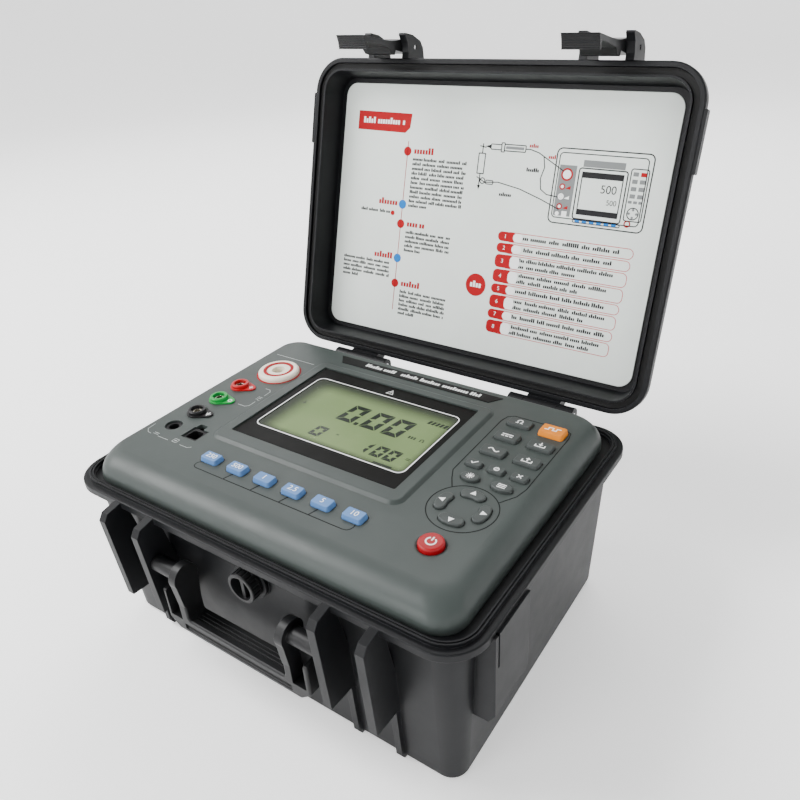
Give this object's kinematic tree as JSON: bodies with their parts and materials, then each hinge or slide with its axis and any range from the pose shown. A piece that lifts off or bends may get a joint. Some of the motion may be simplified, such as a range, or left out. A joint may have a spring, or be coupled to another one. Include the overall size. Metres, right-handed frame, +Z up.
{
  "type": "insulation resistance tester",
  "caption": "Portable high-voltage insulation resistance tester in a latched plastic carry case: hinged lid, display, push keys, test sockets, carry handle and pressure valve.",
  "frame": {"origin": "centre of the flat underside of the base tub, midway across the sealing flange in width and depth", "axes": "+Z up, +X to the user's right, +Y from the user's side towards the lid hinges"},
  "size_m": [0.273, 0.3154, 0.3198],
  "materials": {
    "backlight_white": "white light-guide frame",
    "battery_wrap": "blue shrink wrap",
    "black_gloss": "glossy black acrylic",
    "board_green": "green solder mask",
    "case_plastic": "fine-grained moulded black polypropylene, satin",
    "connector_black": "black connector moulding",
    "contact_metal": "nickel-plated brass",
    "ferrite_tape": "amber insulating tape over a ferrite core",
    "handle_plastic": "moulded black plastic",
    "hv_white": "white insulating plastic",
    "key_blue": "light blue silicone keycap",
    "key_grey": "dark grey silicone rubber keycap",
    "key_orange": "orange silicone keycap",
    "key_red": "red silicone keycap",
    "label_dark": "dark printed film label",
    "lcd": "grey-green liquid crystal glass",
    "mat_rubber": "grey silicone rubber",
    "metal_pin": "bright steel",
    "panel_plastic": "dark grey-green satin plastic",
    "plate_print": "pale grey printed plastic plate",
    "potting_black": "black potting compound",
    "rubber_seal": "soft black rubber",
    "socket_black": "black insulating plastic",
    "socket_green": "green insulating plastic",
    "socket_red": "red insulating plastic",
    "window_clear": "clear acrylic window"
  },
  "bodies": {
    "base": {"base_tub": "case_plastic", "battery_pack": "battery_wrap", "board_screws": "metal_pin", "case_screws": "metal_pin", "control_panel": "panel_plastic", "dc_jack": "connector_black", "display_bezel": "black_gloss", "display_window": "window_clear", "handle_pins": "metal_pin", "hinge_pins": "metal_pin", "hv_band": "socket_red", "hv_collar": "hv_white", "hv_contact": "contact_metal", "hv_core": "hv_white", "hv_multiplier": "potting_black", "hv_transformer": "ferrite_tape", "key_mat": "mat_rubber", "lcd_backlight": "backlight_white", "lcd_glass": "lcd", "main_board": "board_green", "name_strip": "label_dark", "power_board": "board_green", "socket_black": "socket_black", "socket_contacts": "contact_metal", "socket_green": "socket_green", "socket_red": "socket_red", "usb_socket": "metal_pin", "valve_bush": "socket_black", "valve_seal": "rubber_seal"},
    "lid": {"lid_shell": "case_plastic", "lid_seal": "rubber_seal", "instruction_plate": "plate_print", "latch_pins": "metal_pin"},
    "carry_handle": {"carry_handle": "handle_plastic"},
    "valve_knob": {"valve_knob": "case_plastic"},
    "latch_left": {"latch_left": "handle_plastic"},
    "latch_right": {"latch_right": "handle_plastic"},
    "key_10kv": {"key_10kv": "key_blue"},
    "key_1kv": {"key_1kv": "key_blue"},
    "key_250v": {"key_250v": "key_blue"},
    "key_2kv5": {"key_2kv5": "key_blue"},
    "key_500v": {"key_500v": "key_blue"},
    "key_5kv": {"key_5kv": "key_blue"},
    "key_backlight": {"key_backlight": "key_grey"},
    "key_clear": {"key_clear": "key_grey"},
    "key_down": {"key_down": "key_grey"},
    "key_left": {"key_left": "key_grey"},
    "key_memory": {"key_memory": "key_grey"},
    "key_mode": {"key_mode": "key_grey"},
    "key_no": {"key_no": "key_grey"},
    "key_ohm": {"key_ohm": "key_grey"},
    "key_power": {"key_power": "key_red"},
    "key_recall": {"key_recall": "key_grey"},
    "key_right": {"key_right": "key_grey"},
    "key_test": {"key_test": "key_orange"},
    "key_up": {"key_up": "key_grey"},
    "key_volts_ac": {"key_volts_ac": "key_grey"},
    "key_volts_dc": {"key_volts_dc": "key_grey"},
    "key_yes": {"key_yes": "key_grey"}
  },
  "joints": [
    {"name": "lid_hinge", "type": "hinge", "parent": "base", "child": "lid", "pos_m": [0, 0.1068, 0.104], "axis": [1, 0, 0], "range_deg": [0, 106.1]},
    {"name": "carry_handle_pivot", "type": "hinge", "parent": "base", "child": "carry_handle", "pos_m": [0, -0.1046, 0.078], "axis": [-1, 0, 0], "range_deg": [0, 110]},
    {"name": "valve_turn", "type": "hinge", "parent": "base", "child": "valve_knob", "pos_m": [0.0045, -0.098, 0.087], "axis": [0, -1, 0], "range_deg": [0, 180]},
    {"name": "latch_left_pivot", "type": "hinge", "parent": "lid", "child": "latch_left", "pos_m": [-0.07525, 0.17698, 0.30783], "axis": [-1, 0, 0], "range_deg": [-8.5, 110]},
    {"name": "latch_right_pivot", "type": "hinge", "parent": "lid", "child": "latch_right", "pos_m": [0.07525, 0.17698, 0.30783], "axis": [-1, 0, 0], "range_deg": [-8.5, 110]},
    {"name": "key_10kv_press", "type": "slide", "parent": "base", "child": "key_10kv", "axis": [0, 0, -1], "range_m": [0, 0.0012]},
    {"name": "key_1kv_press", "type": "slide", "parent": "base", "child": "key_1kv", "axis": [0, 0, -1], "range_m": [0, 0.0012]},
    {"name": "key_250v_press", "type": "slide", "parent": "base", "child": "key_250v", "axis": [0, 0, -1], "range_m": [0, 0.0012]},
    {"name": "key_2kv5_press", "type": "slide", "parent": "base", "child": "key_2kv5", "axis": [0, 0, -1], "range_m": [0, 0.0012]},
    {"name": "key_500v_press", "type": "slide", "parent": "base", "child": "key_500v", "axis": [0, 0, -1], "range_m": [0, 0.0012]},
    {"name": "key_5kv_press", "type": "slide", "parent": "base", "child": "key_5kv", "axis": [0, 0, -1], "range_m": [0, 0.0012]},
    {"name": "key_backlight_press", "type": "slide", "parent": "base", "child": "key_backlight", "axis": [0, 0, -1], "range_m": [0, 0.0012]},
    {"name": "key_clear_press", "type": "slide", "parent": "base", "child": "key_clear", "axis": [0, 0, -1], "range_m": [0, 0.0012]},
    {"name": "key_down_press", "type": "slide", "parent": "base", "child": "key_down", "axis": [0, 0, -1], "range_m": [0, 0.0012]},
    {"name": "key_left_press", "type": "slide", "parent": "base", "child": "key_left", "axis": [0, 0, -1], "range_m": [0, 0.0012]},
    {"name": "key_memory_press", "type": "slide", "parent": "base", "child": "key_memory", "axis": [0, 0, -1], "range_m": [0, 0.0012]},
    {"name": "key_mode_press", "type": "slide", "parent": "base", "child": "key_mode", "axis": [0, 0, -1], "range_m": [0, 0.0012]},
    {"name": "key_no_press", "type": "slide", "parent": "base", "child": "key_no", "axis": [0, 0, -1], "range_m": [0, 0.0012]},
    {"name": "key_ohm_press", "type": "slide", "parent": "base", "child": "key_ohm", "axis": [0, 0, -1], "range_m": [0, 0.0012]},
    {"name": "key_power_press", "type": "slide", "parent": "base", "child": "key_power", "axis": [0, 0, -1], "range_m": [0, 0.0012]},
    {"name": "key_recall_press", "type": "slide", "parent": "base", "child": "key_recall", "axis": [0, 0, -1], "range_m": [0, 0.0012]},
    {"name": "key_right_press", "type": "slide", "parent": "base", "child": "key_right", "axis": [0, 0, -1], "range_m": [0, 0.0012]},
    {"name": "key_test_press", "type": "slide", "parent": "base", "child": "key_test", "axis": [0, 0, -1], "range_m": [0, 0.0012]},
    {"name": "key_up_press", "type": "slide", "parent": "base", "child": "key_up", "axis": [0, 0, -1], "range_m": [0, 0.0012]},
    {"name": "key_volts_ac_press", "type": "slide", "parent": "base", "child": "key_volts_ac", "axis": [0, 0, -1], "range_m": [0, 0.0012]},
    {"name": "key_volts_dc_press", "type": "slide", "parent": "base", "child": "key_volts_dc", "axis": [0, 0, -1], "range_m": [0, 0.0012]},
    {"name": "key_yes_press", "type": "slide", "parent": "base", "child": "key_yes", "axis": [0, 0, -1], "range_m": [0, 0.0012]}
  ]
}
